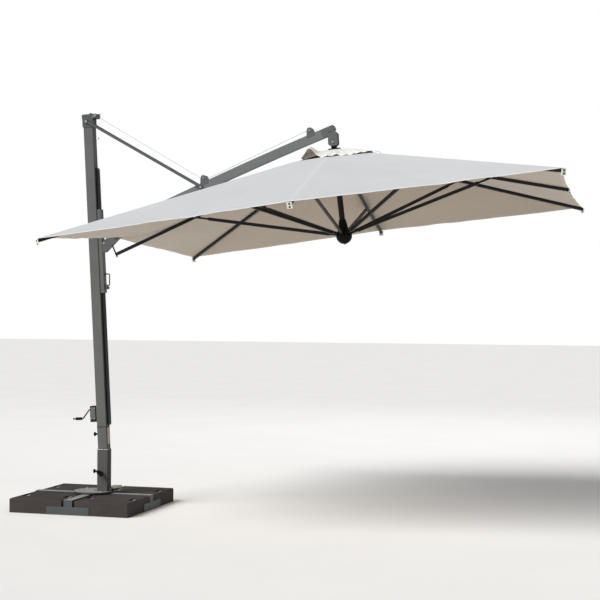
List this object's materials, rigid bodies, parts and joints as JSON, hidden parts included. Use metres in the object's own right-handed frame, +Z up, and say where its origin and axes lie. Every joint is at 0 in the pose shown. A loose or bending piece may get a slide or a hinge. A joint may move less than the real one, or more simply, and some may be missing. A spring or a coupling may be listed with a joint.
{
  "type": "patio umbrella with base",
  "caption": "Square cantilever patio umbrella: a ballasted cross base and turntable carry a leaning mast whose sliding carriage, boom and tie rods hold the ribbed canopy.",
  "frame": {"origin": "on the floor under the turntable's pin", "axes": "+Z up, +X from the mast towards the canopy"},
  "size_m": [4.8671, 4.0184, 3.5788],
  "materials": {
    "base_steel": "satin grey powder coat",
    "ballast": "dark brown cast block, matt",
    "bright_steel": "bright",
    "pedal_steel": "satin",
    "black_plastic": "moulded, matt",
    "mast_grey": "satin dark grey",
    "rail_black": "black anodised",
    "carriage_grey": "satin grey",
    "boom_grey": "light grey, satin",
    "cast_grey": "cast, painted grey",
    "winch_black": "satin black",
    "drum_steel": "satin dark grey",
    "frame_black": "black anodised",
    "rope": "braided",
    "canopy_cloth": "woven, matt",
    "vent_cloth": "woven, matt"
  },
  "bodies": {
    "base": {"base_cross": "base_steel", "ballast_blocks": "ballast", "ballast_grips": "bright_steel", "bearing_plate": "base_steel", "swivel_pin": "bright_steel"},
    "mast": {"turntable_plate": "base_steel", "stub_post": "base_steel", "mast_insert": "mast_grey", "mast_profile": "mast_grey", "rail": "rail_black", "mast_head": "mast_grey", "mast_fasteners": "bright_steel", "winch_housing": "winch_black", "rope_mast_span": "rope"},
    "pedal": {"foot_pedal": "pedal_steel"},
    "stub_back_knob": {"stub_knob_back": "black_plastic"},
    "stub_front_knob": {"stub_knob_front": "black_plastic"},
    "insert_knob": {"insert_knob": "black_plastic"},
    "head_pulley": {"head_pulley": "black_plastic"},
    "winch_drum": {"winch_drum": "drum_steel"},
    "crank": {"crank": "drum_steel"},
    "crank_grip": {"crank_grip": "black_plastic"},
    "slider": {"slider_carriage": "carriage_grey", "glide_pads": "black_plastic", "slider_handle": "carriage_grey", "boom_pivot_pin": "bright_steel"},
    "latch": {"handle_latch": "black_plastic"},
    "boom": {"boom_foot": "cast_grey", "boom_profile": "boom_grey", "boom_end_casting": "cast_grey", "pulley_brackets": "cast_grey", "boom_fasteners": "bright_steel", "rope_boom_span": "rope"},
    "mid_pulley": {"mid_pulley": "black_plastic"},
    "end_pulley": {"end_pulley": "black_plastic"},
    "rods": {"tie_rods": "boom_grey", "rope_rod_span": "rope"},
    "crown": {"pole_head": "cast_grey", "centre_pole": "frame_black", "pole_collar": "black_plastic", "crown": "black_plastic", "vent_cap": "vent_cloth", "canopy": "canopy_cloth"},
    "hub": {"hub": "black_plastic"},
    "rib_1": {"rib_1": "frame_black"},
    "strut_1": {"strut_1": "frame_black"},
    "rib_2": {"rib_2": "frame_black"},
    "strut_2": {"strut_2": "frame_black"},
    "rib_3": {"rib_3": "frame_black"},
    "strut_3": {"strut_3": "frame_black"},
    "rib_4": {"rib_4": "frame_black"},
    "strut_4": {"strut_4": "frame_black"},
    "rib_5": {"rib_5": "frame_black"},
    "strut_5": {"strut_5": "frame_black"},
    "rib_6": {"rib_6": "frame_black"},
    "strut_6": {"strut_6": "frame_black"},
    "rib_7": {"rib_7": "frame_black"},
    "strut_7": {"strut_7": "frame_black"},
    "rib_8": {"rib_8": "frame_black"},
    "strut_8": {"strut_8": "frame_black"}
  },
  "joints": [
    {"name": "mast_swivel", "type": "hinge", "parent": "base", "child": "mast", "pos_m": [0, 0, 0.14], "axis": [0, 0, 1], "continuous": true},
    {"name": "foot_pedal_press", "type": "hinge", "parent": "mast", "child": "pedal", "pos_m": [0.165, 0, 0.1705], "axis": [0, 1, 0], "range_deg": [0, 12], "stiffness_Nm_per_rad": 4, "springref_deg": -17.19},
    {"name": "stub_back_knob_turn", "type": "hinge", "parent": "mast", "child": "stub_back_knob", "pos_m": [0.0376, 0, 0.323], "axis": [-1, 0, 0], "continuous": true},
    {"name": "stub_front_knob_turn", "type": "hinge", "parent": "mast", "child": "stub_front_knob", "pos_m": [0.0976, -0.06, 0.315], "axis": [0, -1, 0], "continuous": true},
    {"name": "insert_knob_turn", "type": "hinge", "parent": "mast", "child": "insert_knob", "pos_m": [0.03512, 0, 0.66073], "axis": [-0.9985, 0, -0.0556], "continuous": true},
    {"name": "head_pulley_spin", "type": "hinge", "parent": "mast", "child": "head_pulley", "pos_m": [-0.0202, 0, 3.54011], "axis": [0, 1, 0], "continuous": true},
    {"name": "crank_turn", "type": "hinge", "parent": "mast", "child": "crank", "pos_m": [-0.02217, 0, 0.87988], "axis": [-0.9985, 0, -0.0556], "continuous": true},
    {"name": "winch_drum_turn", "type": "hinge", "parent": "mast", "child": "winch_drum", "pos_m": [0.0028, 0, 0.84522], "axis": [0, 1, 0], "continuous": true},
    {"name": "crank_grip_spin", "type": "hinge", "parent": "crank", "child": "crank_grip", "pos_m": [-0.14563, 0, 0.79488], "axis": [-0.9985, 0, -0.0556], "continuous": true},
    {"name": "slider_travel", "type": "slide", "parent": "mast", "child": "slider", "axis": [-0.0556, 0, 0.9985], "range_m": [-1.04, 0], "deforming": ["canopy", "vent_cap", "rope_rod_span", "rope_mast_span"]},
    {"name": "handle_latch_press", "type": "slide", "parent": "slider", "child": "latch", "axis": [0.9985, 0, 0.0556], "range_m": [-0.004, 0], "stiffness_N_per_m": 1500, "springref_m": 0.004},
    {"name": "boom_hinge", "type": "hinge", "parent": "slider", "child": "boom", "pos_m": [0.09377, 0, 2.39368], "axis": [0, -1, 0], "range_deg": [0, 46.01]},
    {"name": "mid_pulley_spin", "type": "hinge", "parent": "boom", "child": "mid_pulley", "pos_m": [1.02855, 0, 2.96947], "axis": [0, 1, 0], "continuous": true},
    {"name": "end_pulley_spin", "type": "hinge", "parent": "boom", "child": "end_pulley", "pos_m": [1.99605, 0, 3.3722], "axis": [0, 1, 0], "continuous": true},
    {"name": "tie_rod_hinge", "type": "hinge", "parent": "mast", "child": "rods", "pos_m": [-0.07588, 0, 3.49695], "axis": [0, -1, 0], "range_deg": [-36.48, 0]},
    {"name": "canopy_tilt", "type": "hinge", "parent": "boom", "child": "crown", "pos_m": [2.20442, 0, 3.26748], "axis": [0, -1, 0], "range_deg": [-52.87, 0]},
    {"name": "rib_1_hinge", "type": "hinge", "parent": "crown", "child": "rib_1", "pos_m": [2.26572, 0, 3.17655], "axis": [0, 1, 0], "range_deg": [0, 66.46]},
    {"name": "strut_1_hinge", "type": "hinge", "parent": "rib_1", "child": "strut_1", "pos_m": [3.58345, 0, 2.9397], "axis": [0, 1, 0], "range_deg": [-135.73, 0]},
    {"name": "rib_2_hinge", "type": "hinge", "parent": "crown", "child": "rib_2", "pos_m": [2.25118, 0.03535, 3.17481], "axis": [-0.702, 0.7071, -0.0845], "range_deg": [0, 70.32]},
    {"name": "strut_2_hinge", "type": "hinge", "parent": "rib_2", "child": "strut_2", "pos_m": [3.18372, 0.94045, 3.00094], "axis": [-0.702, 0.7071, -0.0845], "range_deg": [-134.75, 0]},
    {"name": "rib_3_hinge", "type": "hinge", "parent": "crown", "child": "rib_3", "pos_m": [2.21608, 0.05, 3.17058], "axis": [-0.9928, 0, -0.1194], "range_deg": [0, 66.46]},
    {"name": "strut_3_hinge", "type": "hinge", "parent": "rib_3", "child": "strut_3", "pos_m": [2.26297, 1.33, 2.78084], "axis": [-0.9928, 0, -0.1194], "range_deg": [-135.73, 0]},
    {"name": "rib_4_hinge", "type": "hinge", "parent": "crown", "child": "rib_4", "pos_m": [2.18098, 0.03535, 3.16636], "axis": [-0.702, -0.7071, -0.0845], "range_deg": [0, 70.32]},
    {"name": "strut_4_hinge", "type": "hinge", "parent": "rib_4", "child": "strut_4", "pos_m": [1.31628, 0.94045, 2.77628], "axis": [-0.702, -0.7071, -0.0845], "range_deg": [-134.75, 0]},
    {"name": "rib_5_hinge", "type": "hinge", "parent": "crown", "child": "rib_5", "pos_m": [2.16643, 0, 3.16461], "axis": [0, -1, 0], "range_deg": [0, 66.46]},
    {"name": "strut_5_hinge", "type": "hinge", "parent": "rib_5", "child": "strut_5", "pos_m": [0.94249, 0, 2.62197], "axis": [0, -1, 0], "range_deg": [-135.73, 0]},
    {"name": "hub_hinge", "type": "hinge", "parent": "strut_5", "child": "hub", "pos_m": [2.25184, 0, 2.45473], "axis": [0, -1, 0], "range_deg": [0, 69.28]},
    {"name": "rib_6_hinge", "type": "hinge", "parent": "crown", "child": "rib_6", "pos_m": [2.18098, -0.03535, 3.16636], "axis": [0.702, -0.7071, 0.0845], "range_deg": [0, 70.32]},
    {"name": "strut_6_hinge", "type": "hinge", "parent": "rib_6", "child": "strut_6", "pos_m": [1.31628, -0.94045, 2.77628], "axis": [0.702, -0.7071, 0.0845], "range_deg": [-134.75, 0]},
    {"name": "rib_7_hinge", "type": "hinge", "parent": "crown", "child": "rib_7", "pos_m": [2.21608, -0.05, 3.17058], "axis": [0.9928, 0, 0.1194], "range_deg": [0, 66.46]},
    {"name": "strut_7_hinge", "type": "hinge", "parent": "rib_7", "child": "strut_7", "pos_m": [2.26297, -1.33, 2.78084], "axis": [0.9928, 0, 0.1194], "range_deg": [-135.73, 0]},
    {"name": "rib_8_hinge", "type": "hinge", "parent": "crown", "child": "rib_8", "pos_m": [2.25118, -0.03535, 3.17481], "axis": [0.702, 0.7071, 0.0845], "range_deg": [0, 70.32]},
    {"name": "strut_8_hinge", "type": "hinge", "parent": "rib_8", "child": "strut_8", "pos_m": [3.18372, -0.94045, 3.00094], "axis": [0.702, 0.7071, 0.0845], "range_deg": [-134.75, 0]}
  ],
  "couplings": [
    {"joint": "winch_drum_turn", "follows": "crank_turn", "ratio": 0.1},
    {"joint": "boom_hinge", "follows": "slider_travel", "rad_per_m": -0.77197},
    {"joint": "tie_rod_hinge", "follows": "slider_travel", "rad_per_m": 0.61205},
    {"joint": "canopy_tilt", "follows": "slider_travel", "rad_per_m": 0.8871},
    {"joint": "rib_1_hinge", "follows": "slider_travel", "rad_per_m": -1.1152},
    {"joint": "strut_1_hinge", "follows": "slider_travel", "rad_per_m": 2.2776},
    {"joint": "rib_2_hinge", "follows": "slider_travel", "rad_per_m": -1.18},
    {"joint": "strut_2_hinge", "follows": "slider_travel", "rad_per_m": 2.2611},
    {"joint": "rib_3_hinge", "follows": "slider_travel", "rad_per_m": -1.1152},
    {"joint": "strut_3_hinge", "follows": "slider_travel", "rad_per_m": 2.2776},
    {"joint": "rib_4_hinge", "follows": "slider_travel", "rad_per_m": -1.18},
    {"joint": "strut_4_hinge", "follows": "slider_travel", "rad_per_m": 2.2611},
    {"joint": "rib_5_hinge", "follows": "slider_travel", "rad_per_m": -1.1152},
    {"joint": "strut_5_hinge", "follows": "slider_travel", "rad_per_m": 2.2776},
    {"joint": "hub_hinge", "follows": "slider_travel", "rad_per_m": -1.1625},
    {"joint": "rib_6_hinge", "follows": "slider_travel", "rad_per_m": -1.18},
    {"joint": "strut_6_hinge", "follows": "slider_travel", "rad_per_m": 2.2611},
    {"joint": "rib_7_hinge", "follows": "slider_travel", "rad_per_m": -1.1152},
    {"joint": "strut_7_hinge", "follows": "slider_travel", "rad_per_m": 2.2776},
    {"joint": "rib_8_hinge", "follows": "slider_travel", "rad_per_m": -1.18},
    {"joint": "strut_8_hinge", "follows": "slider_travel", "rad_per_m": 2.2611}
  ]
}
